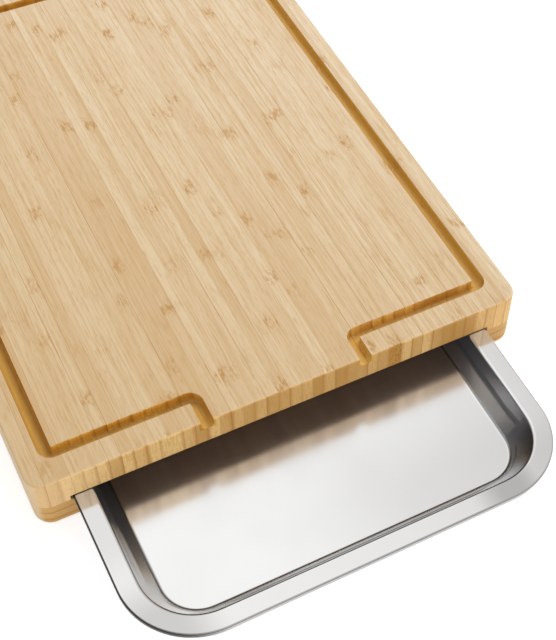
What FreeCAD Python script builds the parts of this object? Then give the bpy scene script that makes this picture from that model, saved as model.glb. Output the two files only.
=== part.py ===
import FreeCAD, Part
import math
import os
import Sketcher
from FreeCAD import Vector

# Bamboo carving board on a three-sided frame, with a pressed steel tray that slides out of the front.
# X runs across the board, Y from the front to the back, Z up. The origin is on the table, under the
# middle of the board and its partly open tray. Lengths are millimetres.

doc = FreeCAD.newDocument("CarvingBoard")

# ---------------------------------------------------------------- driving dimensions

sizes = [
    # panel
    ("board_width", 300.0),
    ("board_depth", 396.0),
    ("panel_thickness", 18.3),
    ("stave_count", 42),
    ("outer_stave", 8.85),          # the first and the last stave are wider than the others
    ("corner_radius", 10.0),        # upright corners of the board
    ("top_round", 1.5),             # upper edge of the panel
    ("base_round", 5.0),            # lower outer edge of the frame
    # juice groove
    ("groove_width", 7.5),
    ("groove_depth", 6.5),
    ("groove_floor_radius", 3.0),
    ("groove_inner_radius", 0.5),   # inside of each turn
    ("groove_side_margin", 12.2),   # board side to groove
    ("groove_end_margin", 14.8),    # board end to groove
    ("left_spout", 49.4),           # middle of the board to the spout
    ("right_spout", 47.7),
    # frame under the panel
    ("slot_height", 3.6),           # the spacers' thickness makes the tray's slot
    ("spacer_width", 19.8),
    ("ledge_width", 11.3),          # how far the rails reach in past the spacers
    ("upper_layer", 6.2),
    ("middle_layer", 6.2),
    ("lower_layer", 6.6),
    # feet
    ("foot_radius", 7.0),
    ("foot_height", 1.6),
    ("foot_edge_round", 0.6),
    ("foot_stem_radius", 3.0),
    ("foot_stem_length", 5.0),
    ("foot_stem_gap", 0.1),
    ("foot_side_inset", 16.0),
    ("foot_end_inset", 24.0),
    # tray
    ("sheet_thickness", 0.8),
    ("tray_side_gap", 1.5),         # flange to spacer, on each side
    ("tray_end_gap", 1.8),          # flange to back spacer when shut
    ("tray_lip", 6.0),              # flange in front of the board when shut
    ("tray_pull", 106.9),           # flange in front of the board as it stands
    ("tray_corner_radius", 44.0),
    ("flange_width", 11.4),
    ("rim_height", 2.8),
    ("rim_bend_radius", 0.6),
    ("rim_gap", 0.1),               # rim to ledge
    ("tray_depth", 18.0),           # top of the flange to the floor
    ("wall_run", 10.9),             # how far a wall leans in on its way down
    ("flange_bend_radius", 2.0),
    ("floor_bend_radius", 3.0),
]

derived = [
    ("frame_height", "upper_layer + middle_layer + lower_layer"),
    ("block_height", "panel_thickness + slot_height + frame_height"),
    ("ledge_top", "foot_height + frame_height"),
    ("panel_base", "ledge_top + slot_height"),
    ("board_front", "(tray_pull - board_depth) / 2"),
    ("board_back", "board_front + board_depth"),
    ("board_middle", "board_front + board_depth / 2"),
    ("half_width", "board_width / 2"),
    ("half_depth", "board_depth / 2"),
    ("stave_width", "(board_width - 2 * outer_stave) / (stave_count - 2)"),
    ("rail_width", "spacer_width + ledge_width"),
    ("groove_turn", "groove_width / 2 + groove_inner_radius"),
    ("groove_x", "half_width - groove_side_margin - groove_width / 2"),
    ("groove_y", "half_depth - groove_end_margin - groove_width / 2"),
    ("groove_floor", "block_height - groove_depth"),
    ("foot_x", "half_width - foot_side_inset"),
    ("foot_y", "half_depth - foot_end_inset"),
    ("socket_radius", "foot_stem_radius + foot_stem_gap"),
    ("socket_depth", "foot_stem_length + foot_stem_gap"),
    ("tray_half_width", "half_width - spacer_width - tray_side_gap"),
    ("tray_half_length", "(board_depth - spacer_width - tray_end_gap + tray_lip) / 2"),
    ("tray_middle", "board_front - tray_pull + tray_half_length"),
    ("flange_top", "ledge_top + rim_gap + rim_height"),
    ("floor_top", "flange_top - tray_depth"),
    ("flange_corner", "tray_half_width - flange_width"),
    ("floor_edge", "flange_corner - wall_run"),
    ("rim_foot", "tray_depth - rim_height"),
    ("floor_inset", "flange_width + wall_run + floor_bend_radius"),
    ("floor_half_width", "tray_half_width - floor_inset"),
    ("floor_half_length", "tray_half_length - floor_inset"),
    ("floor_corner", "tray_corner_radius - floor_inset"),
]

sheet = doc.addObject("Spreadsheet::Sheet", "Sizes")
rows = [(name, str(value)) for name, value in sizes]
rows += [(name, "=" + formula) for name, formula in derived]
for number, (name, content) in enumerate(rows, start=1):
    sheet.set("A%d" % number, name)
    sheet.set("B%d" % number, content)
    sheet.setAlias("B%d" % number, name)
doc.recompute()


def size(name):
    """Value of a sheet cell. A leading minus turns its sign."""
    if name.startswith("-"):
        return -size(name[1:])
    return float(sheet.get(name))


def cell(name):
    """Expression for a sheet cell. A leading minus turns its sign."""
    if name.startswith("-"):
        return "-Sizes." + name[1:]
    return "Sizes." + name


def bind(thing, **formulas):
    """Bind an object's own sizes to the sheet."""
    for name, formula in formulas.items():
        thing.setExpression(name, formula)


def place(thing, x="0", y="0", z="0"):
    """Bind an object's place to the sheet."""
    for axis, formula in zip("xyz", (x, y, z)):
        thing.setExpression("Placement.Base." + axis, formula)


# ---------------------------------------------------------------- sketches


def add_sketch(body, name, role):
    """A sketch on one of the body's own origin planes."""
    sketch = body.newObject("Sketcher::SketchObject", name)
    plane = [item for item in body.Origin.OriginFeatures if item.Role == role][0]
    sketch.AttachmentSupport = (plane, [""])
    sketch.MapMode = "FlatFace"
    return sketch


def tie(sketch, expression, *terms):
    """A dimension that follows an expression on the sheet."""
    index = sketch.addConstraint(Sketcher.Constraint(*terms))
    sketch.setExpression("Constraints[%d]" % index, expression)


def rounded_corner(before, corner, after, radius):
    """Start, middle and end of the arc that rounds a right-angled corner."""
    into = (corner - before).normalize()
    out = (after - corner).normalize()
    start = corner - into * radius
    end = corner + out * radius
    centre = start + out * radius
    middle = centre + (corner - centre).normalize() * radius
    return start, middle, end


def add_arc(sketch, start, middle, end):
    """
    Add an arc and say which of its ends is the start and which the end: 1 is an arc's first point in a
    sketch, 2 its last. An arc is drawn anticlockwise, so one that turns right has them the other way round.
    """
    turns_left = (middle - start).cross(end - middle).z > 0
    if turns_left:
        return sketch.addGeometry(Part.Arc(start, middle, end)), 1, 2
    return sketch.addGeometry(Part.Arc(end, middle, start)), 2, 1


def join_with_arcs(sketch, lines, bends):
    """Put an arc between each line and the next, tangent to both. A bend is start, middle and end."""
    arcs = []
    for index, bend in enumerate(bends):
        arc, first, last = add_arc(sketch, *bend)
        after = lines[(index + 1) % len(lines)]
        sketch.addConstraint(Sketcher.Constraint("Tangent", lines[index], 2, arc, first))
        sketch.addConstraint(Sketcher.Constraint("Tangent", arc, last, after, 1))
        arcs.append(arc)
    return arcs


def draw_route(sketch, columns_and_rows, radius, ends=None):
    """
    Runs along Y and X in turn, joined by equal tangent arcs.
    Each entry names the cell of the coordinate that one run keeps, the first of them an X.
    The route is closed, or it starts and stops at the two Y cells in ends.
    """
    names = columns_and_rows
    values = [size(name) for name in names]
    count = len(values)
    corners = []
    for index in range(count - 1 if ends else count):
        here = values[index]
        there = values[(index + 1) % count]
        corners.append(Vector(here, there, 0) if index % 2 == 0 else Vector(there, here, 0))
    turn = size(radius)
    loop = [Vector(values[0], size(ends[0]), 0)] if ends else [corners[-1]]
    loop += corners
    loop += [Vector(values[-1], size(ends[1]), 0)] if ends else [corners[0]]
    rounds = [rounded_corner(*loop[index:index + 3], turn) for index in range(len(corners))]
    starts = [loop[0]] if ends else [rounds[-1][2]]
    starts += [item[2] for item in rounds]
    finishes = [item[0] for item in rounds]
    finishes += [loop[-1]] if ends else []
    lines = [sketch.addGeometry(Part.LineSegment(a, b)) for a, b in zip(starts, finishes)]
    arcs = join_with_arcs(sketch, lines, rounds)
    for index, line in enumerate(lines):
        upright = index % 2 == 0
        sketch.addConstraint(Sketcher.Constraint("Vertical" if upright else "Horizontal", line))
        kept = "DistanceX" if upright else "DistanceY"
        tie(sketch, cell(names[index]), kept, -1, 1, line, 1, values[index])
    for arc in arcs[1:]:
        sketch.addConstraint(Sketcher.Constraint("Equal", arcs[0], arc))
    tie(sketch, cell(radius), "Radius", arcs[0], turn)
    if ends:
        tie(sketch, cell(ends[0]), "DistanceY", -1, 1, lines[0], 1, size(ends[0]))
        tie(sketch, cell(ends[1]), "DistanceY", -1, 1, lines[-1], 2, size(ends[1]))


def edges_at(shape, height):
    """Names of the edges that lie level at a height."""
    names = []
    for index, edge in enumerate(shape.Edges, start=1):
        box = edge.BoundBox
        if abs(box.ZMin - height) < 0.001 and abs(box.ZMax - height) < 0.001:
            names.append("Edge%d" % index)
    return names


# ---------------------------------------------------------------- the glued block

# The block is the whole wooden board, rounded and routed after gluing. Each piece of wood is the share of
# the block that lies in that piece's own stock. The block's own origin is the middle of its underside.

block = doc.addObject("PartDesign::Body", "Block")
outline = add_sketch(block, "BlockOutline", "XY_Plane")
draw_route(outline, ["half_width", "half_depth", "-half_width", "-half_depth"], "corner_radius")
blank = block.newObject("PartDesign::Pad", "Blank")
blank.Profile = outline
bind(blank, Length="Sizes.block_height")
doc.recompute()

upper_edge = block.newObject("PartDesign::Fillet", "UpperEdge")
upper_edge.Base = (blank, edges_at(blank.Shape, size("block_height")))
bind(upper_edge, Radius="Sizes.top_round")
doc.recompute()
lower_edge = block.newObject("PartDesign::Fillet", "LowerEdge")
lower_edge.Base = (upper_edge, edges_at(upper_edge.Shape, 0))
bind(lower_edge, Radius="Sizes.base_round")
doc.recompute()


def draw_groove_section(sketch):
    """A U with rounded floor corners, open above the board, where the groove leaves by the left spout."""
    x = -size("left_spout")
    half = size("groove_width") / 2
    radius = size("groove_floor_radius")
    floor = size("groove_floor")
    top = size("block_height") + size("top_round")
    slope = radius * (1 - math.sqrt(0.5))
    left_arc = Part.Arc(Vector(x - half, floor + radius, 0),
                        Vector(x - half + slope, floor + slope, 0),
                        Vector(x - half + radius, floor, 0))
    right_arc = Part.Arc(Vector(x + half - radius, floor, 0),
                         Vector(x + half - slope, floor + slope, 0),
                         Vector(x + half, floor + radius, 0))
    left = sketch.addGeometry(Part.LineSegment(Vector(x - half, top, 0), left_arc.StartPoint))
    low_left = sketch.addGeometry(left_arc)
    bottom = sketch.addGeometry(Part.LineSegment(left_arc.EndPoint, right_arc.StartPoint))
    low_right = sketch.addGeometry(right_arc)
    right = sketch.addGeometry(Part.LineSegment(right_arc.EndPoint, Vector(x + half, top, 0)))
    lid = sketch.addGeometry(Part.LineSegment(Vector(x + half, top, 0), Vector(x - half, top, 0)))
    for kind, line in (("Vertical", left), ("Horizontal", bottom), ("Vertical", right), ("Horizontal", lid)):
        sketch.addConstraint(Sketcher.Constraint(kind, line))
    for arc, before, after in ((low_left, left, bottom), (low_right, bottom, right)):
        sketch.addConstraint(Sketcher.Constraint("Tangent", before, 2, arc, 1))
        sketch.addConstraint(Sketcher.Constraint("Tangent", arc, 2, after, 1))
    sketch.addConstraint(Sketcher.Constraint("Coincident", right, 2, lid, 1))
    sketch.addConstraint(Sketcher.Constraint("Coincident", lid, 2, left, 1))
    sketch.addConstraint(Sketcher.Constraint("Equal", low_left, low_right))
    tie(sketch, "Sizes.groove_floor_radius", "Radius", low_left, radius)
    tie(sketch, "Sizes.groove_width", "DistanceX", lid, 2, lid, 1, 2 * half)
    tie(sketch, "Sizes.groove_floor", "DistanceY", -1, 1, bottom, 1, floor)
    tie(sketch, "Sizes.block_height + Sizes.top_round", "DistanceY", -1, 1, lid, 1, top)
    tie(sketch, "-Sizes.left_spout - Sizes.groove_width / 2", "DistanceX", -1, 1, left, 1, x - half)


# The groove leaves the front by one spout, goes round the board and comes back to the other spout.
groove_route = add_sketch(block, "GrooveRoute", "XY_Plane")
draw_route(groove_route,
           ["-left_spout", "-groove_y", "-groove_x", "groove_y", "groove_x", "-groove_y", "right_spout"],
           "groove_turn", ends=("-half_depth", "-half_depth"))
groove_section = add_sketch(block, "GrooveSection", "XZ_Plane")
groove_section.setExpression("AttachmentOffset.Base.z", "Sizes.half_depth")
draw_groove_section(groove_section)
doc.recompute()
groove = block.newObject("PartDesign::SubtractivePipe", "JuiceGroove")
groove.Profile = groove_section
groove.Spine = groove_route
doc.recompute()

foot_corners = {
    "front_left": ("-", "-"),
    "front_right": ("", "-"),
    "back_left": ("-", ""),
    "back_right": ("", ""),
}

socket_plan = add_sketch(block, "FootSocketPlan", "XY_Plane")
for side, end in foot_corners.values():
    centre = Vector(size(side + "foot_x"), size(end + "foot_y"), 0)
    ring = socket_plan.addGeometry(Part.Circle(centre, Vector(0, 0, 1), size("socket_radius")))
    tie(socket_plan, "Sizes.socket_radius", "Radius", ring, size("socket_radius"))
    tie(socket_plan, cell(side + "foot_x"), "DistanceX", -1, 1, ring, 3, centre.x)
    tie(socket_plan, cell(end + "foot_y"), "DistanceY", -1, 1, ring, 3, centre.y)
sockets = block.newObject("PartDesign::Pocket", "FootSockets")
sockets.Profile = socket_plan
sockets.Reversed = True
bind(sockets, Length="Sizes.socket_depth")
place(block, y="Sizes.board_middle", z="Sizes.foot_height")
doc.recompute()

# ---------------------------------------------------------------- pieces of wood

sub_parts = []


def keep(thing, name):
    """Name a finished sub-part."""
    thing.Label = name
    sub_parts.append(thing)


def cut_from_block(name, x, y, z, length, width, height):
    """One piece of wood: the block's share of a piece of stock, whose low corner is at x, y, z."""
    stock = doc.addObject("Part::Box", "Stock_" + name)
    bind(stock, Length=length, Width=width, Height=height)
    place(stock, x, y, z)
    piece = doc.addObject("Part::Common", "Wood_" + name)
    piece.Base = block
    piece.Tool = stock
    keep(piece, name)


stave_count = int(size("stave_count"))
for number in range(1, stave_count + 1):
    start = "-Sizes.half_width"
    if number > 1:
        start += " + Sizes.outer_stave + %d * Sizes.stave_width" % (number - 2)
    width = "Sizes.outer_stave" if number in (1, stave_count) else "Sizes.stave_width"
    cut_from_block(
        "stave_%02d" % number, start, "Sizes.board_front", "Sizes.panel_base",
        width, "Sizes.board_depth", "Sizes.panel_thickness")

layers = [
    ("spacer", "Sizes.ledge_top", "Sizes.slot_height", "Sizes.spacer_width"),
    ("rail_upper", "Sizes.ledge_top - Sizes.upper_layer", "Sizes.upper_layer", "Sizes.rail_width"),
    ("rail_middle", "Sizes.foot_height + Sizes.lower_layer", "Sizes.middle_layer", "Sizes.rail_width"),
    ("rail_lower", "Sizes.foot_height", "Sizes.lower_layer", "Sizes.rail_width"),
]
for kind, base, thickness, width in layers:
    cut_from_block(
        "left_" + kind, "-Sizes.half_width", "Sizes.board_front", base,
        width, "Sizes.board_depth", thickness)
    cut_from_block(
        "right_" + kind, "Sizes.half_width - " + width, "Sizes.board_front", base,
        width, "Sizes.board_depth", thickness)
    cut_from_block(
        "back_" + kind, "-Sizes.half_width + " + width, "Sizes.board_back - " + width, base,
        "Sizes.board_width - 2 * " + width, width, thickness)

# ---------------------------------------------------------------- feet


def draw_foot_section(sketch):
    """Half of a foot's section: a disc with a rounded lower edge and a stem above it."""
    radius = size("foot_radius")
    height = size("foot_height")
    edge = size("foot_edge_round")
    stem = size("foot_stem_radius")
    top = height + size("foot_stem_length")
    slope = edge * (1 - math.sqrt(0.5))
    base = sketch.addGeometry(Part.LineSegment(Vector(0, 0, 0), Vector(radius - edge, 0, 0)))
    bend = sketch.addGeometry(Part.Arc(Vector(radius - edge, 0, 0),
                                       Vector(radius - slope, slope, 0),
                                       Vector(radius, edge, 0)))
    rim = sketch.addGeometry(Part.LineSegment(Vector(radius, edge, 0), Vector(radius, height, 0)))
    points = [Vector(radius, height, 0), Vector(stem, height, 0), Vector(stem, top, 0), Vector(0, top, 0)]
    seat, side, cap = [sketch.addGeometry(Part.LineSegment(a, b)) for a, b in zip(points, points[1:])]
    axis = sketch.addGeometry(Part.LineSegment(Vector(0, top, 0), Vector(0, 0, 0)))
    for kind, line in (("Horizontal", base), ("Vertical", rim), ("Horizontal", seat),
                       ("Vertical", side), ("Horizontal", cap), ("Vertical", axis)):
        sketch.addConstraint(Sketcher.Constraint(kind, line))
    sketch.addConstraint(Sketcher.Constraint("Coincident", base, 1, -1, 1))
    sketch.addConstraint(Sketcher.Constraint("Tangent", base, 2, bend, 1))
    sketch.addConstraint(Sketcher.Constraint("Tangent", bend, 2, rim, 1))
    for first, second in ((rim, seat), (seat, side), (side, cap), (cap, axis), (axis, base)):
        sketch.addConstraint(Sketcher.Constraint("Coincident", first, 2, second, 1))
    tie(sketch, "Sizes.foot_edge_round", "Radius", bend, edge)
    tie(sketch, "Sizes.foot_radius", "DistanceX", -1, 1, rim, 2, radius)
    tie(sketch, "Sizes.foot_height", "DistanceY", -1, 1, rim, 2, height)
    tie(sketch, "Sizes.foot_stem_radius", "DistanceX", -1, 1, side, 2, stem)
    tie(sketch, "Sizes.foot_stem_length", "DistanceY", side, 1, side, 2, top - height)


for corner, (side, end) in foot_corners.items():
    foot = doc.addObject("PartDesign::Body", "Foot_" + corner)
    section = add_sketch(foot, "FootSection_" + corner, "XZ_Plane")
    draw_foot_section(section)
    turned = foot.newObject("PartDesign::Revolution", "FootTurned_" + corner)
    turned.Profile = section
    turned.ReferenceAxis = (section, ["V_Axis"])
    turned.Angle = 360.0
    place(foot, cell(side + "foot_x"), "Sizes.board_middle + " + cell(end + "foot_y"))
    keep(foot, "foot_" + corner)

# ---------------------------------------------------------------- tray


def offset_corner(before, corner, after, distance):
    """A corner of a line of points, moved to the right of the line by a distance."""
    into = (corner - before).normalize()
    out = (after - corner).normalize()
    normal = Vector(into.y, -into.x, 0) + Vector(out.y, -out.x, 0)
    return corner + normal * (distance / (1 + into.dot(out)))


def bend_arc(before, corner, after, radius):
    """Start, middle and end of the arc that rounds any corner."""
    into = (before - corner).normalize()
    out = (after - corner).normalize()
    half_angle = into.getAngle(out) / 2
    reach = radius / math.tan(half_angle)
    to_centre = (into + out).normalize()
    middle = corner + to_centre * (radius / math.sin(half_angle) - radius)
    return corner + into * reach, middle, corner + out * reach


def draw_chain(sketch, points, radii):
    """Lines through the points with a tangent arc at each inner point. Returns the lines and arcs."""
    bends = [bend_arc(*points[index:index + 3], radius) for index, radius in enumerate(radii)]
    starts = [points[0]] + [item[2] for item in bends]
    ends = [item[0] for item in bends] + [points[-1]]
    lines = [sketch.addGeometry(Part.LineSegment(a, b)) for a, b in zip(starts, ends)]
    return lines, join_with_arcs(sketch, lines, bends)


def draw_sheet_section(sketch):
    """Section of the tray's edge: a strip of floor, the wall, the flange and the turned-down rim."""
    metal = size("sheet_thickness")
    upper = [
        Vector(size("floor_half_width"), 0, 0),
        Vector(size("floor_edge"), 0, 0),
        Vector(size("flange_corner"), size("tray_depth"), 0),
        Vector(size("tray_half_width"), size("tray_depth"), 0),
        Vector(size("tray_half_width"), size("rim_foot"), 0),
    ]
    lower = [upper[0] - Vector(0, metal, 0)]
    lower += [offset_corner(*upper[index:index + 3], metal) for index in range(3)]
    lower += [upper[-1] - Vector(metal, 0, 0)]
    floor_bend = size("floor_bend_radius")
    flange_bend = size("flange_bend_radius")
    rim_bend = size("rim_bend_radius")
    tops, top_arcs = draw_chain(sketch, upper, [floor_bend, flange_bend + metal, rim_bend + metal])
    unders, under_arcs = draw_chain(sketch, lower, [floor_bend + metal, flange_bend, rim_bend])
    for floor, wall, flange, rim in (tops, unders):
        sketch.addConstraint(Sketcher.Constraint("Horizontal", floor))
        sketch.addConstraint(Sketcher.Constraint("Horizontal", flange))
        sketch.addConstraint(Sketcher.Constraint("Vertical", rim))
    sketch.addConstraint(Sketcher.Constraint("Parallel", tops[1], unders[1]))
    for top_arc, under_arc in zip(top_arcs, under_arcs):
        sketch.addConstraint(Sketcher.Constraint("Coincident", top_arc, 3, under_arc, 3))
    inner_cap = sketch.addGeometry(Part.LineSegment(upper[0], lower[0]))
    outer_cap = sketch.addGeometry(Part.LineSegment(upper[-1], lower[-1]))
    caps = ((inner_cap, 1, tops[0], unders[0]), (outer_cap, 2, tops[3], unders[3]))
    for cap, end, top_line, under_line in caps:
        sketch.addConstraint(Sketcher.Constraint("Coincident", cap, 1, top_line, end))
        sketch.addConstraint(Sketcher.Constraint("Coincident", cap, 2, under_line, end))
    sketch.addConstraint(Sketcher.Constraint("Vertical", inner_cap))
    sketch.addConstraint(Sketcher.Constraint("Horizontal", outer_cap))
    sketch.addConstraint(Sketcher.Constraint("PointOnObject", tops[0], 1, -1))
    # Where the wall would meet the floor and the flange if nothing were rounded.
    for name, point, line in (("floor_edge", upper[1], tops[0]), ("flange_corner", upper[2], tops[2])):
        mark = sketch.addGeometry(Part.Point(point), True)
        sketch.addConstraint(Sketcher.Constraint("PointOnObject", mark, 1, tops[1]))
        sketch.addConstraint(Sketcher.Constraint("PointOnObject", mark, 1, line))
        tie(sketch, cell(name), "DistanceX", -1, 1, mark, 1, size(name))
    tie(sketch, "Sizes.floor_half_width", "DistanceX", -1, 1, tops[0], 1, upper[0].x)
    tie(sketch, "Sizes.tray_half_width", "DistanceX", -1, 1, tops[3], 2, upper[4].x)
    tie(sketch, "Sizes.tray_depth", "DistanceY", -1, 1, tops[2], 1, upper[3].y)
    tie(sketch, "Sizes.rim_foot", "DistanceY", -1, 1, tops[3], 2, upper[4].y)
    tie(sketch, "Sizes.sheet_thickness", "DistanceY", inner_cap, 2, inner_cap, 1, metal)
    tie(sketch, "Sizes.floor_bend_radius", "Radius", top_arcs[0], floor_bend)
    tie(sketch, "Sizes.flange_bend_radius", "Radius", under_arcs[1], flange_bend)
    tie(sketch, "Sizes.rim_bend_radius", "Radius", under_arcs[2], rim_bend)


# The tray's own origin is the middle of its floor's upper face.
tray = doc.addObject("PartDesign::Body", "Tray")
floor_plan = add_sketch(tray, "TrayFloorPlan", "XY_Plane")
draw_route(floor_plan,
           ["floor_half_width", "floor_half_length", "-floor_half_width", "-floor_half_length"],
           "floor_corner")
floor_plate = tray.newObject("PartDesign::Pad", "TrayFloor")
floor_plate.Profile = floor_plan
floor_plate.Reversed = True
bind(floor_plate, Length="Sizes.sheet_thickness")
edge_section = add_sketch(tray, "TrayEdgeSection", "XZ_Plane")
draw_sheet_section(edge_section)
doc.recompute()
pressed_edge = tray.newObject("PartDesign::AdditivePipe", "TrayEdge")
pressed_edge.Profile = edge_section
pressed_edge.Spine = floor_plan
place(tray, y="Sizes.tray_middle", z="Sizes.floor_top")
keep(tray, "tray")

# ---------------------------------------------------------------- checks and files

doc.recompute()
for thing in doc.Objects:
    if "Invalid" in thing.State or "Error" in thing.State:
        raise RuntimeError("%s did not recompute" % thing.Name)
    if thing.isDerivedFrom("Sketcher::SketchObject") and thing.solve() != 0:
        raise RuntimeError("%s is not solved" % thing.Name)
for piece in sub_parts:
    if piece.Shape.isNull() or not piece.Shape.isValid():
        raise RuntimeError("%s has no valid shape" % piece.Label)
stages = [lower_edge, groove, sockets]
for before, after in zip(stages, stages[1:]):
    if after.Shape.Volume >= before.Shape.Volume:
        raise RuntimeError("%s removed nothing" % after.Name)

os.makedirs("parts", exist_ok=True)
for piece in sub_parts:
    piece.Shape.exportStep("parts/%s.step" % piece.Label)
    print("%-20s %10.1f mm3" % (piece.Label, piece.Shape.Volume))
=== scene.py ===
import math

import bpy
from mathutils import Matrix, Vector


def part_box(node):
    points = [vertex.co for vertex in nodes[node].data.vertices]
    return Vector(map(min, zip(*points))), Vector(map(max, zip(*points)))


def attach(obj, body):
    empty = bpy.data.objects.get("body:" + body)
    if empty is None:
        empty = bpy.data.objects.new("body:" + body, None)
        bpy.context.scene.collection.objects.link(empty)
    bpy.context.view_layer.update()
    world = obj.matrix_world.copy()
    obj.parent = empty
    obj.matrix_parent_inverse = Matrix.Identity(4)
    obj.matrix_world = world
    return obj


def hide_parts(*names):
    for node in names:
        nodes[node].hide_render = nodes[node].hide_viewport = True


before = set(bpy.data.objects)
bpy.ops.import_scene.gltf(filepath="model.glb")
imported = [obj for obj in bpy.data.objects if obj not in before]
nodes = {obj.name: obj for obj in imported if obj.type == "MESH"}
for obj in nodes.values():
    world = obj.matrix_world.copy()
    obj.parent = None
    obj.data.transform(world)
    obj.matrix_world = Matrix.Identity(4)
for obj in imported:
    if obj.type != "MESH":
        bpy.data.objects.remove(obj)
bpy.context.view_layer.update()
perMetre = 1000.0                     # the materials count in millimetres


# ---- small helpers for nodes and colours

def tint(red, green, blue):
    # a colour as it reads on a screen, 0 to 255, turned into Blender's linear values
    channels = []
    for value in (red, green, blue):
        share = value / 255
        channels.append(share / 12.92 if share <= 0.04045 else ((share + 0.055) / 1.055) ** 2.4)
    return (*channels, 1.0)


def addNode(tree, kind, inputs=None, **settings):
    node = tree.nodes.new(kind)
    for name, value in settings.items():
        setattr(node, name, value)
    for key, value in (inputs or {}).items():
        if isinstance(value, bpy.types.NodeSocket):
            tree.links.new(value, node.inputs[key])
        else:
            node.inputs[key].default_value = value
    return node


def maths(tree, operation, first, second=0.0, third=0.0, clamp=False):
    inputs = {0: first, 1: second, 2: third}
    return addNode(tree, "ShaderNodeMath", inputs, operation=operation, use_clamp=clamp).outputs[0]


def plus(tree, first, second, clamp=False):
    return maths(tree, "ADD", first, second, clamp=clamp)


def minus(tree, first, second):
    return maths(tree, "SUBTRACT", first, second)


def times(tree, first, *others):
    for other in others:
        first = maths(tree, "MULTIPLY", first, other)
    return first


def distanceFrom(tree, value, place):
    return maths(tree, "ABSOLUTE", minus(tree, value, place))


def centred(tree, chance, size):
    # a chance of 0 to 1 becomes one of minus half to plus half of the size
    return times(tree, minus(tree, chance, 0.5), size)


def limited(tree, value, low, high):
    return maths(tree, "MINIMUM", maths(tree, "MAXIMUM", value, low), high)


def blendColour(tree, factor, first, second, kind="MIX"):
    inputs = {0: factor, 6: first, 7: second}
    return addNode(tree, "ShaderNodeMix", inputs, data_type="RGBA", blend_type=kind).outputs[2]


def blendValue(tree, factor, first, second):
    return addNode(tree, "ShaderNodeMix", {0: factor, 2: first, 3: second}, data_type="FLOAT").outputs[0]


def ramp(tree, value, low, high, start=0.0, end=1.0):
    # smooth step from start to end, while the value goes from low to high
    inputs = {0: value, 1: low, 2: high, 3: start, 4: end}
    return addNode(tree, "ShaderNodeMapRange", inputs, interpolation_type="SMOOTHSTEP").outputs[0]


def vector(tree, x, y, z):
    return addNode(tree, "ShaderNodeCombineXYZ", {0: x, 1: y, 2: z}).outputs[0]


def noise(tree, where, scale, detail, rough):
    inputs = {"Vector": where, "Scale": scale, "Detail": detail, "Roughness": rough}
    return addNode(tree, "ShaderNodeTexNoise", inputs).outputs[0]


def threeChances(tree, kind, where):
    inputs = {"W" if kind == "1D" else "Vector": where}
    colour = addNode(tree, "ShaderNodeTexWhiteNoise", inputs, noise_dimensions=kind).outputs["Color"]
    return addNode(tree, "ShaderNodeSeparateColor", {0: colour}).outputs


def surface(tree):
    # the place on the object in millimetres, whole and as x, y, z, and the way the surface faces
    coordinates = addNode(tree, "ShaderNodeTexCoord").outputs
    millimetres = addNode(tree, "ShaderNodeVectorMath", {0: coordinates["Object"], 3: perMetre},
                          operation="SCALE").outputs[0]
    position = addNode(tree, "ShaderNodeSeparateXYZ", {0: millimetres}).outputs
    normal = addNode(tree, "ShaderNodeSeparateXYZ", {0: coordinates["Normal"]}).outputs
    return millimetres, position, normal


def newGroup(name, inputs, outputs):
    tree = bpy.data.node_groups.new(name, "ShaderNodeTree")
    for label, value in inputs.items():
        socket = tree.interface.new_socket(label, in_out="INPUT", socket_type="NodeSocketFloat")
        socket.default_value = value
    for label in outputs:
        tree.interface.new_socket(label, in_out="OUTPUT", socket_type="NodeSocketFloat")
    return tree, tree.nodes.new("NodeGroupInput").outputs, tree.nodes.new("NodeGroupOutput").inputs


def newMaterial(name):
    material = bpy.data.materials.new(name)
    material.use_nodes = True
    tree = material.node_tree
    return material, tree, tree.nodes["Principled BSDF"]


def feed(tree, socket, value):
    tree.links.new(value, socket)


def dress(names, material):
    for name in names:
        nodes[name].data.materials.clear()
        nodes[name].data.materials.append(material)


# ---- bamboo: fibres, knuckles and glue seams of strips that run one way

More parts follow.
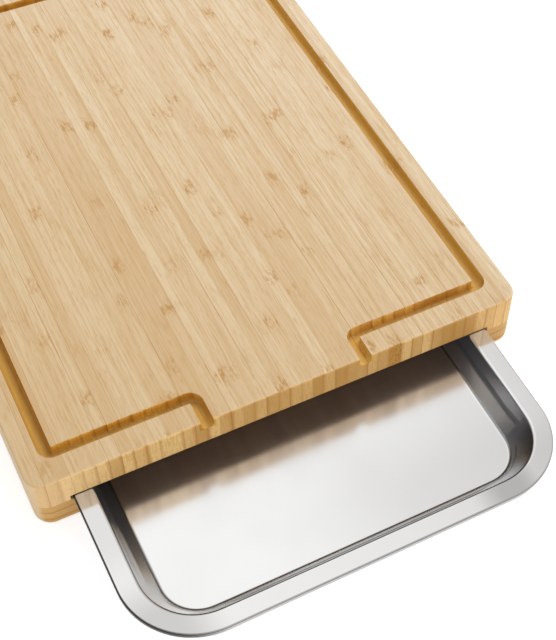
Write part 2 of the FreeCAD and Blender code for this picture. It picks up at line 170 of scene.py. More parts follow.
# a range is from, to and, unless they are 0 and 1, what comes out at each
strips = {
    "shift": 4000.0,                  # each strip shows another length of the pattern
    # layers of fibres: waves per millimetre across and along, shift, detail, roughness
    "bands": (0.42, 0.0045, 3.1, 2.0, 0.55),
    "streaks": (2.2, 0.026, 11.7, 3.0, 0.65),
    "dashes": (1.4, 0.095, 27.3, 2.0, 0.6),
    "grit": (0.62, 0.17, 41.9, 3.0, 0.75),
    # slower noise: waves along its first and second direction, detail, roughness
    "toneWaves": (0.005, 1.0, 1.0, 0.5),
    "wobbleWaves": (0.4, 7.7, 2.0, 0.5),
    "swerveWaves": (0.22, 0.10, 1.0, 0.5),
    "reachWaves": (0.35, 3.3, 2.0, 0.5),
    "seamWaves": (5.1, 0.02, 2.0, 0.5),
    "sawWaves": (1.1, 0.09, 3.0, 0.75),
    "tonePlane": 8.5,
    "toneDrift": 1.1,                 # how much the tone changes along a strip
    "knucklePlane": 0.5,
    "knucklePlace": (0.12, 0.88),     # where in its cell a knuckle may be
    "knuckleSlant": 0.9,
    "knuckleWobble": 6.0,
    "knuckleNear": (2.0, 16.0, 1.0, 0.0),
    "knuckleReach": (0.30, 0.70, 4.0, 11.0),
    "knuckleFade": (0.2, 1.0, 1.0, 0.0),
    "knuckleGrit": (0.43, 0.62),
    "knuckleStrength": (0.05, 0.9, 0.2, 1.0),
    "streaksNear": 0.05,              # more streaks beside a knuckle
    "swerve": 0.35,                   # how far the fibres swerve, and how much more beside a knuckle
    "swerveNear": 0.9,
    "seamStep": 1.7,
    "seamWidth": (0.05, 0.34, 1.0, 0.0),
    "seamChance": (0.25, 0.95),
    "seamBreaks": (0.3, 0.65, 0.35, 1.0),
    "dotsAcross": 0.8,                # cut fibre bundles per millimetre
    "dotsDeep": 0.4,
    "dotScatter": 0.9,
    "dotSize": (0.15, 0.55, 1.0, 0.0),
    "dotsFarFromSkin": 0.3,
    "skinSwap": 0.45,                 # share of strips with their skin on the other side
    "skinDepth": (0.66, 1.0),
    "skinStrength": (0.1, 0.6, 0.65, 1.0),
    "sawMarks": (0.46, 0.68),
    "dashHeight": 0.6,
    "seamHeight": 0.5,
    "knuckleHeight": 0.4,
}


def buildStripGroup():
    tree, given, out = newGroup(
        "bambooStrips",
        {"Along": 0.0, "Across": 0.0, "Deep": 0.0, "Strip Width": 7.0, "First Strip": -99.0, "Last Strip": 99.0,
         "Knuckle Spacing": 190.0, "Least Seam": 0.1, "Seed": 0.0},
        ("Tone", "Second Tone", "Bands", "Streaks", "Dashes", "Knuckles", "Seams", "Bundles", "Skin",
         "Saw Marks", "Height"))
    across, deep = given["Across"], given["Deep"]
    place = maths(tree, "DIVIDE", across, given["Strip Width"])
    strip = limited(tree, maths(tree, "FLOOR", place), given["First Strip"], given["Last Strip"])
    key = plus(tree, strip, given["Seed"])
    chances = threeChances(tree, "1D", key)
    along = maths(tree, "MULTIPLY_ADD", chances[0], strips["shift"], given["Along"])

    def waves(name, first, second, third):
        firstRate, secondRate, detail, rough = strips[name]
        where = vector(tree, times(tree, first, firstRate), times(tree, second, secondRate), third)
        return noise(tree, where, 1.0, detail, rough)

    # knuckles: one cell of the strip holds one knuckle, at a place of its own
    cell = maths(tree, "FLOOR", maths(tree, "DIVIDE", along, given["Knuckle Spacing"]))
    lucks = threeChances(tree, "3D", vector(tree, cell, key, strips["knucklePlane"]))
    middle = times(tree, plus(tree, cell, blendValue(tree, lucks[0], *strips["knucklePlace"])),
                   given["Knuckle Spacing"])
    slant = centred(tree, lucks[1], strips["knuckleSlant"])
    inStrip = minus(tree, across, times(tree, strip, given["Strip Width"]))
    wobble = centred(tree, waves("wobbleWaves", across, cell, key), strips["knuckleWobble"])
    slanted = maths(tree, "MULTIPLY_ADD", slant, inStrip, wobble)
    distance = distanceFrom(tree, minus(tree, along, middle), slanted)
    near = ramp(tree, distance, *strips["knuckleNear"])
    drift = centred(tree, waves("toneWaves", along, key, strips["tonePlane"]), strips["toneDrift"])
    tone = plus(tree, drift, chances[1])

    # the fibres swerve a little beside a knuckle
    swerve = centred(tree, waves("swerveWaves", across, along, key),
                     maths(tree, "MULTIPLY_ADD", near, strips["swerveNear"], strips["swerve"]))
    bent = plus(tree, across, swerve)

    def fibres(name):
        crossRate, alongRate, shift, detail, rough = strips[name]
        where = vector(tree, maths(tree, "MULTIPLY_ADD", bent, crossRate, shift),
                       times(tree, along, alongRate), times(tree, deep, crossRate))
        return noise(tree, where, 1.0, detail, rough)

    bands = fibres("bands")
    streaks = maths(tree, "MULTIPLY_ADD", near, strips["streaksNear"], fibres("streaks"))
    dashes = fibres("dashes")

    # a knuckle is a small cluster of short brown dashes that fan out along the strip
    reach = ramp(tree, waves("reachWaves", across, cell, key), *strips["knuckleReach"])
    body = ramp(tree, maths(tree, "DIVIDE", distance, reach), *strips["knuckleFade"])
    grit = ramp(tree, fibres("grit"), *strips["knuckleGrit"])
    knuckles = times(tree, body, grit, ramp(tree, lucks[2], *strips["knuckleStrength"]))

    # glue seams, some plain to see and some not
    firstLine = plus(tree, given["First Strip"], 1.0)
    line = limited(tree, maths(tree, "ROUND", place), firstLine, given["Last Strip"])
    seamKey = maths(tree, "MULTIPLY_ADD", line, strips["seamStep"], given["Seed"])
    seamLuck = addNode(tree, "ShaderNodeTexWhiteNoise", {"W": seamKey}, noise_dimensions="1D").outputs["Value"]
    edge = times(tree, distanceFrom(tree, place, line), given["Strip Width"])
    seams = times(tree, ramp(tree, edge, *strips["seamWidth"]),
                  ramp(tree, seamLuck, *strips["seamChance"], given["Least Seam"], 1.0),
                  ramp(tree, waves("seamWaves", line, given["Along"], 0.0), *strips["seamBreaks"]))

    # cut ends of the fibre bundles, the dense skin at one side of the strip, and the saw's marks
    dotAt = vector(tree, times(tree, across, strips["dotsAcross"]), times(tree, deep, strips["dotsDeep"]), key)
    dot = addNode(tree, "ShaderNodeTexVoronoi",
                  {"Vector": dotAt, "Scale": 1.0, "Randomness": strips["dotScatter"]}).outputs[0]
    share = maths(tree, "DIVIDE", inStrip, given["Strip Width"])
    turned = maths(tree, "GREATER_THAN", chances[0], strips["skinSwap"])
    skinSide = blendValue(tree, turned, minus(tree, 1.0, share), share)
    skin = times(tree, ramp(tree, skinSide, *strips["skinDepth"]), ramp(tree, seamLuck, *strips["skinStrength"]))
    bundles = times(tree, ramp(tree, dot, *strips["dotSize"]),
                    blendValue(tree, skinSide, strips["dotsFarFromSkin"], 1.0))
    sawMarks = ramp(tree, waves("sawWaves", across, deep, key), *strips["sawMarks"])

    cuts = maths(tree, "MULTIPLY_ADD", seams, strips["seamHeight"], times(tree, knuckles, strips["knuckleHeight"]))
    height = minus(tree, times(tree, dashes, strips["dashHeight"]), cuts)
    results = {"Tone": tone, "Second Tone": chances[2], "Bands": bands, "Streaks": streaks,
               "Dashes": dashes, "Knuckles": knuckles, "Seams": seams, "Bundles": bundles,
               "Skin": skin, "Saw Marks": sawMarks, "Height": height}
    for label, value in results.items():
        feed(tree, out[label], value)
    return tree


stripGroup = buildStripGroup()

slabLow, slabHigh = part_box("stave_01")
secondLow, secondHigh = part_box("stave_02")
slabTop, slabFront = slabHigh.z * perMetre, slabLow.y * perMetre
boardMiddle = (slabLow.y + slabHigh.y) / 2 * perMetre
bamboo = {
    "knuckleSpacing": 115.0,
    "light": tint(230, 206, 167),
    "mid": tint(211, 175, 127),
    "lightToMid": (0.0, 1.0, 0.22, 0.82),
    "paintedLight": tint(238, 223, 200),      # painted sheen, paler towards the back right corner
    "sheenFromBack": 0.6,
    "paintedLightReach": (-220.0, 300.0, 0.0, 0.56),
    "deep": tint(208, 172, 122),
    "bandsMix": (0.40, 0.70, 0.0, 0.5),
    "streak": tint(200, 160, 106),
    "streaksMix": (0.50, 0.72, 0.0, 0.6),
    "dashesMix": (0.50, 0.72, 0.0, 0.5),
    "knuckle": tint(188, 136, 70),
    "knucklesMix": 0.8,
    "seam": tint(176, 124, 60),
    "seamsMix": 0.7,
    "side": tint(250, 216, 164),      # painted light on faces that face left, lighter and warmer
    "litSideFacing": (-0.5, -0.9, 0.0, 0.5),
    "under": tint(255, 214, 158),     # painted shade, multiplied onto the slab's underside
    "underFacing": (-0.9, -0.5, 1.0, 0.0),
    "roughness": (0.3, 0.7, 0.41, 0.58),
    "specular": 0.35,
    "bump": 0.06,
    "bumpDepth": 0.0002,
    "paintedReflectionSaturation": 0.64,           # painted reflection: glossy rays see the wood less saturated, so the steel mirrors it paler
}
endGrain = {
    "facing": (0.45, 0.85),
    "light": tint(246, 204, 134),
    "railLight": tint(219, 172, 100),
    "dark": tint(202, 149, 74),
    "shadeToRight": 0.0026,            # painted shade: the end faces get darker towards the right
    "toDark": (0.1, 1.0, 0.0, 0.9),
    "railToDark": (0.1, 1.0, 0.0, 0.4),
    "bundlesMix": 0.4,
    "skin": tint(198, 136, 58),
    "skinMix": 0.75,
    "streak": tint(190, 134, 62),
    "sawMix": 0.4,
    "seam": tint(176, 112, 42),
    "seamsMix": 0.9,
    "paintedLight": tint(248, 220, 176),      # painted light, paler towards the left corner
    "paintedLightReach": (-90.0, -145.0, 0.0, 0.35),
    "darkStave": 67.0,                # x of the middle of the one stave whose front end is dark
    "darkStaveHalf": (3.3, 3.6, 1.0, 0.0),
    "darkStaveDepth": (2.0, 4.0, 0.9, 0.0),
    "darkest": tint(196, 138, 52),
    "dots": tint(134, 88, 30),
}
groove = {
    # what its wood is multiplied by, left and right: its floor, its long walls, its end walls; partly the cut wood's
    # own darker colour, partly painted shade in the recess, set apart left and right
    "cutAndShadePaints": ((tint(244, 226, 150), (0.95, 0.77, 0.33, 1)),
               (tint(236, 204, 108), (0.88, 0.74, 0.20, 1)),
               (tint(236, 220, 134), (1.01, 1.00, 0.62, 1))),
    "toRight": (-10.0, 10.0),
    "floorFacing": (0.3, 0.9),
    "side": 134.05,                   # places of its middle lines, from the middle of the board
    "end": 179.45,
    "spouts": (-49.4, 47.7),
    "half": (4.6, 5.0, 1.0, 0.0),     # from its middle line
    "lip": (0.5, 1.4),                # below the board's top
    "bottom": (6.6, 6.9, 1.0, 0.0),
}


def paintGrooveAndShade(tree, wood, position, normal, isEnd):
    # the groove is cut through the strips: its cut wood is darker, and painted shade darkens its recess, differently
    # on the left and the right
    drop = minus(tree, slabTop, position[2])
    fromSide = minus(tree, maths(tree, "ABSOLUTE", position[0]), groove["side"])
    fromMiddle = minus(tree, position[1], boardMiddle)
    fromEnd = minus(tree, maths(tree, "ABSOLUTE", fromMiddle), groove["end"])
    fromGroove = maths(tree, "ABSOLUTE", maths(tree, "MAXIMUM", fromSide, fromEnd))
    beyondRun = plus(tree, fromMiddle, groove["end"])
    for spout in groove["spouts"]:
        fromSpout = maths(tree, "MAXIMUM", distanceFrom(tree, position[0], spout), beyondRun)
        fromGroove = maths(tree, "MINIMUM", fromGroove, fromSpout)
    inside = times(tree, ramp(tree, drop, *groove["lip"]), ramp(tree, drop, *groove["bottom"]),
                   ramp(tree, fromGroove, *groove["half"]))
    # the left and right runs get different paints, as painted shade
    toRight = ramp(tree, position[0], *groove["toRight"])
    floor, wall, endWall = [blendColour(tree, toRight, left, right) for left, right in groove["cutAndShadePaints"]]
    cutAndShade = blendColour(tree, isEnd, wall, endWall)
    cutAndShade = blendColour(tree, ramp(tree, normal[2], *groove["floorFacing"]), cutAndShade, floor)
    return blendColour(tree, inside, wood, cutAndShade, "MULTIPLY")


def buildEndGrain(tree, grain, position, grooved):
    # each strip has its own tone, with the cut fibre bundles as darker dots
    # each strip's own tone, shifted by painted shade that darkens towards the right
    tonedAndShaded = maths(tree, "MULTIPLY_ADD", position[0], endGrain["shadeToRight"], grain["Second Tone"])
    toDark = ramp(tree, tonedAndShaded, *endGrain["toDark" if grooved else "railToDark"])
    end = blendColour(tree, toDark, endGrain["light" if grooved else "railLight"], endGrain["dark"])
    for label, mix, colour in (("Bundles", "bundlesMix", "dark"), ("Skin", "skinMix", "skin"),
                               ("Saw Marks", "sawMix", "streak")):
        end = blendColour(tree, times(tree, grain[label], endGrain[mix]), end, endGrain[colour])
    if grooved:
        fromDark = distanceFrom(tree, position[0], endGrain["darkStave"])
        fromFront = minus(tree, position[1], slabFront)
        isDark = times(tree, ramp(tree, fromDark, *endGrain["darkStaveHalf"]),
                       ramp(tree, fromFront, *endGrain["darkStaveDepth"]))
        dotted = blendColour(tree, grain["Bundles"], endGrain["darkest"], endGrain["dots"])
        end = blendColour(tree, isDark, end, dotted)
        # painted light: the end faces grow paler towards the left corner
        end = blendColour(tree, ramp(tree, position[0], *endGrain["paintedLightReach"]), end, endGrain["paintedLight"])
    return end


def buildBamboo(name, alongAxis, acrossAxis, offset, values, grooved):
    # axes are 0, 1 or 2 for x, y or z; the third one is the depth
    material, tree, shader = newMaterial(name)
    position, normal = surface(tree)[1:]
    inputs = {**values, "Along": position[alongAxis], "Across": minus(tree, position[acrossAxis], offset),
              "Deep": position[3 - alongAxis - acrossAxis], "Knuckle Spacing": bamboo["knuckleSpacing"]}
    grain = addNode(tree, "ShaderNodeGroup", inputs, node_tree=stripGroup).outputs

    # long grain: tone of the strip, wide bands, narrow streaks, short dashes
    wood = blendColour(tree, ramp(tree, grain["Tone"], *bamboo["lightToMid"]), bamboo["light"], bamboo["mid"])
    # painted sheen: the grooved top grows paler towards the back right corner
    if grooved:
        sheenToBack = maths(tree, "MULTIPLY_ADD", position[1], bamboo["sheenFromBack"], position[0])
        wood = blendColour(tree, ramp(tree, sheenToBack, *bamboo["paintedLightReach"]), wood, bamboo["paintedLight"])
    for label, mix, colour in (("Bands", "bandsMix", "deep"), ("Streaks", "streaksMix", "streak"),
                               ("Dashes", "dashesMix", "streak")):
        wood = blendColour(tree, ramp(tree, grain[label], *bamboo[mix]), wood, bamboo[colour])
    wood = blendColour(tree, times(tree, grain["Knuckles"], bamboo["knucklesMix"]), wood, bamboo["knuckle"])

    isEnd = ramp(tree, maths(tree, "ABSOLUTE", normal[alongAxis]), *endGrain["facing"])
    wood = blendColour(tree, isEnd, wood, buildEndGrain(tree, grain, position, grooved))
    seams = times(tree, grain["Seams"], blendValue(tree, isEnd, bamboo["seamsMix"], endGrain["seamsMix"]))
    wood = blendColour(tree, seams, wood, blendColour(tree, isEnd, bamboo["seam"], endGrain["seam"]))
    # painted light: faces that turn to the left are lighter and warmer
    wood = blendColour(tree, ramp(tree, normal[0], *bamboo["litSideFacing"]), wood, bamboo["side"])
    if grooved:
        wood = paintGrooveAndShade(tree, wood, position, normal, isEnd)
        # painted shade on the slab's underside
        isShadedUnder = ramp(tree, normal[2], *bamboo["underFacing"])
        wood = blendColour(tree, isShadedUnder, wood, bamboo["under"], "MULTIPLY")

    # painted reflection: only glossy rays see the wood with less colour
    mirrored = addNode(tree, "ShaderNodeLightPath").outputs["Is Glossy Ray"]
    saturation = blendValue(tree, mirrored, 1.0, bamboo["paintedReflectionSaturation"])
    washed = addNode(tree, "ShaderNodeHueSaturation", {"Color": wood, "Saturation": saturation}).outputs[0]
    feed(tree, shader.inputs["Base Color"], washed)
    shader.inputs["Specular IOR Level"].default_value = bamboo["specular"]
    feed(tree, shader.inputs["Roughness"], ramp(tree, grain["Dashes"], *bamboo["roughness"]))
    bump = addNode(tree, "ShaderNodeBump", {"Height": grain["Height"], "Distance": bamboo["bumpDepth"],
                                            "Strength": bamboo["bump"]})
    feed(tree, shader.inputs["Normal"], bump.outputs[0])
    return material


staves = sorted(name for name in nodes if name.startswith("stave_"))
staves += ["left_spacer", "right_spacer"]
sideRails = [name for name in nodes if name.startswith(("left_rail", "right_rail"))]
backRails = [name for name in nodes if name.startswith("back_")]
staveValues = {"Strip Width": (secondHigh.x - secondLow.x) * perMetre, "First Strip": -1.0, "Last Strip": 40.0,
               "Seed": 3.0, "Least Seam": 0.1}
# the rails are strips that lie flat, counted down from the top one
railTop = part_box("left_rail_upper")[1].z * perMetre
railValues = {"Strip Width": 6.2, "First Strip": -3.0, "Last Strip": 0.0, "Least Seam": 0.9}
dress(staves, buildBamboo("stave bamboo", 1, 0, secondLow.x * perMetre, staveValues, True))
dress(sideRails, buildBamboo("side rail bamboo", 1, 2, railTop, {**railValues, "Seed": 61.0}, False))
dress(backRails, buildBamboo("back rail bamboo", 0, 2, railTop, {**railValues, "Seed": 91.0}, False))
print("bamboo done")


# ---- tray: satin sheet steel

# the tray is pressed from one sheet; runs are measured from its outer edge, drops from its top
tray = {
    "cornerRadius": 0.044,
    "cornerSteps": 20,
    "rimHeight": 0.0028,              # the turned-down edge
    "flange": 0.0114,
    "wallRun": 0.0109,                # how far the wall leans in on its way down
    "depth": 0.018,
    "creaseRun": 0.0036,              # down to its crease the wall is steeper
    "creaseDrop": 0.0100,
    "creaseLift": 0.0041,             # towards the corners the crease rises and fades
    "fadeStart": -0.018,              # from here, before the corner, to here, inside it
    "fadeEnd": 0.010,
    "fadeCuts": 5,
    "rimBend": 0.0013,
    "flangeBend": 0.0013,
    "creaseBend": 0.0026,
    "floorBend": 0.0014,
    "bendSteps": 5,
    "creaseSteps": 4,
    "sheet": 0.0008,
    "smoothAngle": 40,
    "tolerance": 0.00005,             # how near a vertex lies to the ring it belongs to
}

steel = {
    "floor": tint(250, 250, 249),
    "floorCornerShade": tint(235, 234, 232),  # painted shade, towards the front right corner
    "flange": tint(242, 241, 239),
    # painted shade on the flange: darker on the left and at its rounded corners; the corner colour also darkens the
    # steel in cloudy patches
    "flangeLeftShade": tint(230, 229, 227),
    "flangeShadeAndMottle": tint(196, 194, 192),
    # painted reflection tones of the walls: tinted blue against the wood they mirror, darker on the left, lighter on
    # the right
    "wall": tint(220, 226, 234),
    "wallLeftShade": tint(178, 189, 202),
    "wallRightLit": tint(218, 234, 255),
    "cornerLeft": tint(255, 253, 250),  # painted light and shade on the walls where they turn: light on the left, darker at the front, dark on the right
    "cornerFront": tint(168, 167, 165),
    "cornerRightShade": tint(92, 92, 93),
    "foot": tint(96, 96, 96),         # the shaded bend where the walls meet the floor
    # painted reflection lines on the front wall
    "line": tint(92, 94, 98),
    "rim": tint(74, 72, 70),          # painted shade on the turned-down edge, on the left
    "rimLight": tint(236, 235, 233),  # a painted highlight on it, on the right
    "roughness": (0.3, 0.7, 0.15, 0.24),
    "flangeRoughness": 0.12,
    "wallRoughness": 0.27,
    "brush": 0.012,
    "brushDepth": 0.00002,
    "brushWaves": (4.0, 0.06, 4.0),   # per millimetre along x, y and z
    "brushDetail": (3.0, 0.6),
    "cloudWaves": 0.02,
    "cloudDetail": (3.0, 0.5),
    "cloudMix": 0.2,
}

# where the steel's tones and its painted shade, highlights and reflections lie, in millimetres or as the way the
# surface faces
steelZones = {
    "flangeDrop": (0.6, 1.6, 1.0, 0.0),      # below the tray's top
    "rimDrop": (3.0, 3.4, 1.0, 0.0),
    "topLineDrop": (1.0, 1.5, 1.0, 0.0),
    "rimOutward": (12.0, 50.0),
    "rimFacing": (-0.6, 0.6),
    "toRight": (-20.0, 20.0),
    "corner": (-6.0, 24.0),                  # past the start of the corner
    "brightEnd": (-30.0, 0.0),
    "beforeCorner": (-26.0, -4.0),
    "afterCorner": (26.0, 4.0),
    "frontOfCorner": (12.0, 30.0),
    "cornerShadeRight": 0.35,                       # how much darker painted shade makes the flange in its corners
    "cornerShadeLeft": 0.75,
    "wallFacing": (0.6, 0.95, 1.0, 0.0),
    "floorCornerAcross": (-50.0, 70.0),
    "floorCornerAlong": (95.0, 35.0),        # from the tray's front
    "wallLeftAlong": (-45.0, 0.0, 0.0, 0.8),
    "wallFrontAcross": (-30.0, -75.0),
    "leftFacing": (0.3, 0.7),
    "rightFacing": (-0.3, -0.7),
    "cornerFacing": (0.5, 0.2),
    "footFacing": (0.985, 0.9),
    "footHeight": (1.0, 0.6),                # above the floor
    "footMix": 0.8,
    "lineHeight": 4.6,
    "lineHalf": (1.1, 0.4),
    "lineFront": (-20.0, -40.0),             # from the tray's middle
    "lineFacing": (0.25, 0.5),
    "lineMix": 0.85,
}


def buildSteel():
    material, tree, shader = newMaterial("satin steel")
    low, high = [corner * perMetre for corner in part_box("tray")]
    middle, half, radius = (low.y + high.y) / 2, (high - low) / 2, tray["cornerRadius"] * perMetre
    millimetres, position, normal = surface(tree)

    def zone(value, name):
        return ramp(tree, value, *steelZones[name])

    stretched = vector(tree, *[times(tree, place, rate) for place, rate in zip(position, steel["brushWaves"])])
    brushing = noise(tree, stretched, 1.0, *steel["brushDetail"])
    clouds = noise(tree, millimetres, steel["cloudWaves"], *steel["cloudDetail"])
    drop = minus(tree, high.z, position[2])
    aboveFloor = minus(tree, tray["depth"] * perMetre, drop)
    fromMiddle = minus(tree, position[1], middle)
    toRight = zone(position[0], "toRight")
    onFlange = zone(drop, "flangeDrop")
    outward = plus(tree, times(tree, normal[0], position[0]), times(tree, normal[1], fromMiddle))
    onRim = times(tree, zone(outward, "rimOutward"), zone(drop, "rimDrop"))
    onWall = zone(normal[2], "wallFacing")
    pastSide = minus(tree, maths(tree, "ABSOLUTE", position[0]), half.x - radius)
    pastEnd = minus(tree, maths(tree, "ABSOLUTE", fromMiddle), half.y - radius)
    inCorner = zone(maths(tree, "MINIMUM", pastSide, pastEnd), "corner")

    # painted shade: the flange is darker on the left, away from its ends, and darker at and beside its rounded
    # corners
    flangeLit = maths(tree, "MAXIMUM", zone(pastEnd, "brightEnd"), toRight)
    flange = blendColour(tree, flangeLit, steel["flangeLeftShade"], steel["flange"])
    cornerShade = times(tree, zone(pastSide, "beforeCorner"), zone(pastSide, "afterCorner"), zone(pastEnd, "frontOfCorner"))
    cornerShade = maths(tree, "MAXIMUM", cornerShade, times(tree, inCorner, steelZones["cornerShadeRight"]))
    cornerShade = blendValue(tree, toRight, times(tree, inCorner, steelZones["cornerShadeLeft"]), cornerShade)
    flange = blendColour(tree, cornerShade, flange, steel["flangeShadeAndMottle"])
    # painted shade and highlight on the turned-down edge: dark on the left, light on the right
    rim = blendColour(tree, zone(normal[0], "rimFacing"), steel["rim"], steel["rimLight"])

    # floor and walls, the floor with painted shade towards its front right corner
    toShadedCorner = times(tree, zone(position[0], "floorCornerAcross"),
                     zone(minus(tree, position[1], low.y), "floorCornerAlong"))
    floor = blendColour(tree, toShadedCorner, steel["floor"], steel["floorCornerShade"])
    colour = blendColour(tree, onFlange, floor, flange)
    # painted shade and light on the walls, darker where they turn on the right
    wallLeftShade = blendColour(tree, zone(pastEnd, "wallLeftAlong"), steel["wallLeftShade"], steel["cornerLeft"])
    wall = blendColour(tree, zone(position[0], "wallFrontAcross"), steel["wall"], steel["cornerFront"])
    wall = blendColour(tree, zone(normal[0], "leftFacing"), wall, wallLeftShade)
    wall = blendColour(tree, zone(normal[0], "rightFacing"), wall, steel["wallRightLit"])
    cornerLeft = blendColour(tree, zone(normal[0], "cornerFacing"), steel["cornerLeft"], steel["cornerFront"])
    wallCornerShade = blendColour(tree, toRight, cornerLeft, steel["cornerRightShade"])
    colour = blendColour(tree, onWall, colour, blendColour(tree, inCorner, wall, wallCornerShade))
    onFoot = times(tree, zone(normal[2], "footFacing"), zone(aboveFloor, "footHeight"), steelZones["footMix"])
    colour = blendColour(tree, onFoot, colour, steel["foot"])

    # painted reflections: thin dark lines on the front wall, one half way to its crease and one at its top
    fromLine = distanceFrom(tree, aboveFloor, steelZones["lineHeight"])
    paintedLines = maths(tree, "MAXIMUM", zone(fromLine, "lineHalf"), zone(drop, "topLineDrop"))
    paintedLines = times(tree, paintedLines, zone(fromMiddle, "lineFront"), zone(normal[1], "lineFacing"), steelZones["lineMix"])
    colour = blendColour(tree, paintedLines, colour, steel["line"])
    # cloudy darker patches over all the steel, towards the flange's shade colour
    colour = blendColour(tree, times(tree, clouds, steel["cloudMix"]), colour, steel["flangeShadeAndMottle"])
    feed(tree, shader.inputs["Base Color"], blendColour(tree, onRim, colour, rim))
    shader.inputs["Metallic"].default_value = 1.0
    rough = ramp(tree, blendValue(tree, 0.5, brushing, clouds), *steel["roughness"])
    rough = blendValue(tree, onFlange, rough, steel["flangeRoughness"])
    feed(tree, shader.inputs["Roughness"], blendValue(tree, onWall, rough, steel["wallRoughness"]))
    bump = addNode(tree, "ShaderNodeBump", {"Height": brushing, "Distance": steel["brushDepth"],
                                            "Strength": steel["brush"]})
    feed(tree, shader.inputs["Normal"], bump.outputs[0])
    return material


def distanceIn(place, low, high):
    # how far a point lies inside the tray's rounded outline, and how far past the start of a corner
    radius = tray["cornerRadius"]
    pastSide = abs(place.x - (low.x + high.x) / 2) - (high.x - low.x) / 2 + radius
    pastEnd = abs(place.y - (low.y + high.y) / 2) - (high.y - low.y) / 2 + radius
    past = min(pastSide, pastEnd)
    return radius - (math.hypot(pastSide, pastEnd) if past > 0 else max(pastSide, pastEnd)), past


def roundRing(piece, run, offset, steps):
    # rounds the ring of edges that lies this far in, leaving the rim's lower edge alone
    low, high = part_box("tray")
    aboveRim = high.z - tray["rimHeight"] / 2
    bpy.ops.object.mode_set(mode="OBJECT")
    mesh = piece.data
    onRing = [abs(distanceIn(vertex.co, low, high)[0] - run) < tray["tolerance"]
              and (run > 0 or vertex.co.z > aboveRim) for vertex in mesh.vertices]
    for item in (*mesh.vertices, *mesh.polygons):
        item.select = False
    for edge in mesh.edges:
        edge.select = onRing[edge.vertices[0]] and onRing[edge.vertices[1]]
    bpy.ops.object.mode_set(mode="EDIT")
    bpy.ops.mesh.select_mode(type="EDGE")
    bpy.ops.mesh.bevel(offset=offset, segments=steps, affect="EDGES", clamp_overlap=False)


def buildTray(material):
    low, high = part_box("tray")
    middle, size = (low + high) / 2, high - low
    rimBottom = high.z - tray["rimHeight"]
    creaseRing = tray["flange"] + tray["creaseRun"]
    floorRing = tray["flange"] + tray["wallRun"]
    bpy.ops.object.select_all(action="DESELECT")
    bpy.ops.mesh.primitive_plane_add(size=1.0)
    piece = bpy.context.active_object
    piece.name = "pressed_tray"
    bpy.ops.object.mode_set(mode="EDIT")
    bpy.ops.mesh.select_mode(type="VERT")
    bpy.ops.mesh.select_all(action="SELECT")
    bpy.ops.transform.resize(value=(size.x, size.y, 1.0))
    bpy.ops.transform.translate(value=(middle.x, middle.y, rimBottom))
    bpy.ops.mesh.bevel(affect="VERTICES", offset=tray["cornerRadius"], segments=tray["cornerSteps"],
                       clamp_overlap=False)
    bpy.ops.mesh.select_mode(type="FACE")
    bpy.ops.mesh.select_all(action="SELECT")
    bpy.ops.mesh.extrude_region_move(TRANSFORM_OT_translate={"value": (0, 0, tray["rimHeight"])})
    for run, drop in ((tray["flange"], 0.0), (tray["creaseRun"], tray["creaseDrop"]),
                      (tray["wallRun"] - tray["creaseRun"], tray["depth"] - tray["creaseDrop"])):
        bpy.ops.mesh.inset(thickness=run, depth=-drop, use_even_offset=True)

    # the sheet is open below: the extruded plane's own face, the only one there with many corners, goes
    bpy.ops.object.mode_set(mode="OBJECT")
    for item in (*piece.data.vertices, *piece.data.edges):
        item.select = False
    for face in piece.data.polygons:
        face.select = len(face.vertices) > 4 and abs(face.center.z - rimBottom) < tray["tolerance"]
    bpy.ops.object.mode_set(mode="EDIT")
    bpy.ops.mesh.delete(type="ONLY_FACE")

    # cuts across the walls before each corner, so that the crease can rise there
    for step in range(tray["fadeCuts"]):
        past = tray["fadeStart"] * step / (tray["fadeCuts"] - 1)
        for axis in (0, 1):
            for side in (-1, 1):
                place, direction = middle.copy(), Vector((0, 0, 0))
                place[axis] += side * (size[axis] / 2 - tray["cornerRadius"] + past)
                direction[axis] = 1.0
                bpy.ops.mesh.select_all(action="SELECT")
                bpy.ops.mesh.bisect(plane_co=place, plane_no=direction)
    bpy.ops.object.mode_set(mode="OBJECT")
    for vertex in piece.data.vertices:
        run, past = distanceIn(vertex.co, low, high)
        if abs(run - creaseRing) < tray["tolerance"]:
            share = min(max((past - tray["fadeStart"]) / (tray["fadeEnd"] - tray["fadeStart"]), 0.0), 1.0)
            vertex.co.z += tray["creaseLift"] * share * share * (3 - 2 * share)

    roundRing(piece, 0.0, tray["rimBend"], tray["bendSteps"])
    roundRing(piece, tray["flange"], tray["flangeBend"], tray["bendSteps"])
    roundRing(piece, creaseRing, tray["creaseBend"], tray["creaseSteps"])
    roundRing(piece, floorRing, tray["floorBend"], tray["bendSteps"])
    bpy.ops.object.mode_set(mode="OBJECT")
    thicken = piece.modifiers.new("sheet", "SOLIDIFY")
    thicken.thickness = tray["sheet"]
    thicken.offset = -1.0
    thicken.use_even_offset = True
    bpy.ops.object.modifier_apply(modifier=thicken.name)
    bpy.ops.object.shade_smooth_by_angle(angle=math.radians(tray["smoothAngle"]))
    weigh = piece.modifiers.new("flats", "WEIGHTED_NORMAL")
    weigh.keep_sharp = True
    bpy.ops.object.modifier_apply(modifier=weigh.name)
    piece.data.materials.append(material)
    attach(piece, "tray")
    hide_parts("tray")


buildTray(buildSteel())
print("tray done")


# ---- feet: soft grey rubber

rubber = {
    "colour": tint(92, 92, 90),
    "speckle": tint(120, 120, 117),
    "speckleWaves": 2500.0,           # per metre
    "speckleDetail": (2.0, 0.6),
    "speckleMix": (0.35, 0.65, 0.0, 0.25),
    "roughness": (0.3, 0.7, 0.6, 0.8),
}


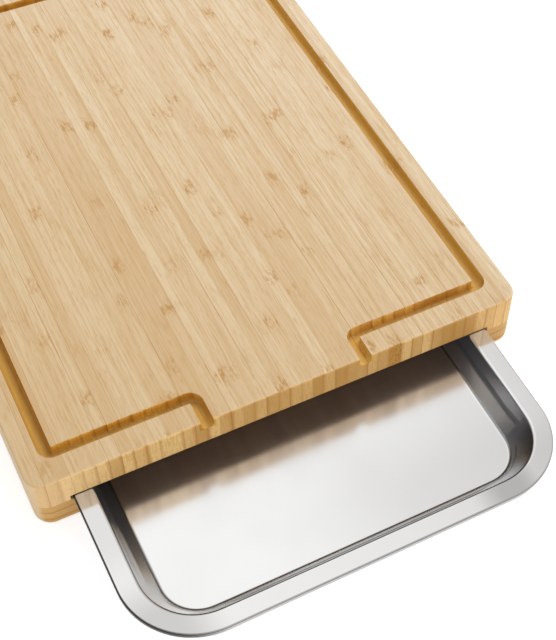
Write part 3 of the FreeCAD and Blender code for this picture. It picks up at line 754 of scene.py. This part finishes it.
def buildRubber():
    material, tree, shader = newMaterial("foot rubber")
    coordinates = addNode(tree, "ShaderNodeTexCoord").outputs["Object"]
    speckle = noise(tree, coordinates, rubber["speckleWaves"], *rubber["speckleDetail"])
    colour = blendColour(tree, ramp(tree, speckle, *rubber["speckleMix"]), rubber["colour"], rubber["speckle"])
    feed(tree, shader.inputs["Base Color"], colour)
    feed(tree, shader.inputs["Roughness"], ramp(tree, speckle, *rubber["roughness"]))
    return material


dress([name for name in nodes if name.startswith("foot_")], buildRubber())
print("rubber done")


# ---- studio: floor, world, lamp and camera

studio = {
    "floorSize": 6.0,
    "floorColour": (0.82, 0.82, 0.82, 1.0),
    "floorRoughness": 0.9,
    "floorGlow": 0.66,
    "ambient": 0.26,
    "frontLight": 1.7,                # how much more light comes from the front, low down
    "frontReach": (-0.9, 0.2),
    "frontHeight": (0.1, 0.9, 1.0, 0.15),
    "surround": 0.03,                 # how bright the dark surroundings near the horizon look in the steel
    "surroundHeight": (0.15, 0.60),
    "lampSideLift": 0.12,             # the dark ends sooner on the lamp's side
    "rightSide": (0.15, 0.6, 1.0, 0.66),
    "passedOn": 0.25,                 # steel that lights the wood again passes on less than it shows
    "lampPower": 23.0,
    "lampSize": 0.9,
    "lampPlace": (0.7, 0.55, 1.75),
}


def buildFloor():
    bpy.ops.object.select_all(action="DESELECT")
    bpy.ops.mesh.primitive_plane_add(size=studio["floorSize"], location=(0, 0, 0))
    floor = bpy.context.active_object
    floor.name = "floor"
    material, tree, shader = newMaterial("floor paint")
    shader.inputs["Base Color"].default_value = studio["floorColour"]
    shader.inputs["Roughness"].default_value = studio["floorRoughness"]
    shader.inputs["Specular IOR Level"].default_value = 0.0
    path = addNode(tree, "ShaderNodeLightPath").outputs
    seen = plus(tree, plus(tree, path["Is Camera Ray"], path["Is Glossy Ray"]), path["Is Transmission Ray"], True)
    shader.inputs["Emission Color"].default_value = (1, 1, 1, 1)
    feed(tree, shader.inputs["Emission Strength"], times(tree, seen, studio["floorGlow"]))
    floor.data.materials.append(material)


def buildWorld():
    world = bpy.data.worlds.new("studio")
    bpy.context.scene.world = world
    world.use_nodes = True
    tree = world.node_tree
    background = tree.nodes["Background"]
    path = addNode(tree, "ShaderNodeLightPath").outputs
    direction = addNode(tree, "ShaderNodeTexCoord").outputs["Generated"]
    towards = addNode(tree, "ShaderNodeSeparateXYZ", {0: direction}).outputs
    # what the steel mirrors: dark near the horizon and bright above, less so far to the right
    lifted = maths(tree, "MULTIPLY_ADD", towards[0], studio["lampSideLift"], towards[2])
    mirrored = times(tree, ramp(tree, lifted, *studio["surroundHeight"], studio["surround"], 1.0),
                     ramp(tree, towards[0], *studio["rightSide"]))
    frontal = times(tree, ramp(tree, towards[1], *studio["frontReach"], studio["frontLight"], 0.0),
                    ramp(tree, towards[2], *studio["frontHeight"]))
    ambient = plus(tree, frontal, studio["ambient"])
    isPassedOn = maths(tree, "MINIMUM", path["Diffuse Depth"], 1.0)
    mirrored = blendValue(tree, isPassedOn, mirrored, times(tree, mirrored, studio["passedOn"]))
    level = blendValue(tree, path["Is Glossy Ray"], ambient, mirrored)
    white = plus(tree, path["Is Camera Ray"], path["Is Transmission Ray"], True)
    background.inputs["Color"].default_value = (1, 1, 1, 1)
    feed(tree, background.inputs["Strength"], blendValue(tree, white, level, 1.0))


def buildLamp():
    data = bpy.data.lights.new("softbox", "AREA")
    data.shape = "SQUARE"
    data.size = studio["lampSize"]
    data.energy = studio["lampPower"]
    lamp = bpy.data.objects.new("softbox", data)
    bpy.context.scene.collection.objects.link(lamp)
    lamp.location = studio["lampPlace"]
    lamp.rotation_euler = (-Vector(studio["lampPlace"])).to_track_quat("-Z", "Y").to_euler()
    lamp.visible_glossy = False


camera = {
    "place": (-0.171059, -0.513112, 0.618725),
    "right": (0.884453, -0.465199, 0.036510),
    "up": (0.358812, 0.728033, 0.584142),
    "sensor": 36.0,
    "lens": 71.647,
    "shift": (-0.13494, 0.08693),
}


def buildCamera():
    data = bpy.data.cameras.new("view")
    data.sensor_width = camera["sensor"]
    data.lens = camera["lens"]
    data.shift_x, data.shift_y = camera["shift"]
    item = bpy.data.objects.new("view", data)
    bpy.context.scene.collection.objects.link(item)
    right, up = Vector(camera["right"]).normalized(), Vector(camera["up"]).normalized()
    turn = Matrix((right, up, right.cross(up))).transposed()
    item.matrix_world = Matrix.Translation(camera["place"]) @ turn.to_4x4()
    bpy.context.scene.camera = item


buildFloor()
buildWorld()
buildLamp()
buildCamera()
bpy.context.scene.view_settings.view_transform = "Standard"
print("studio done")
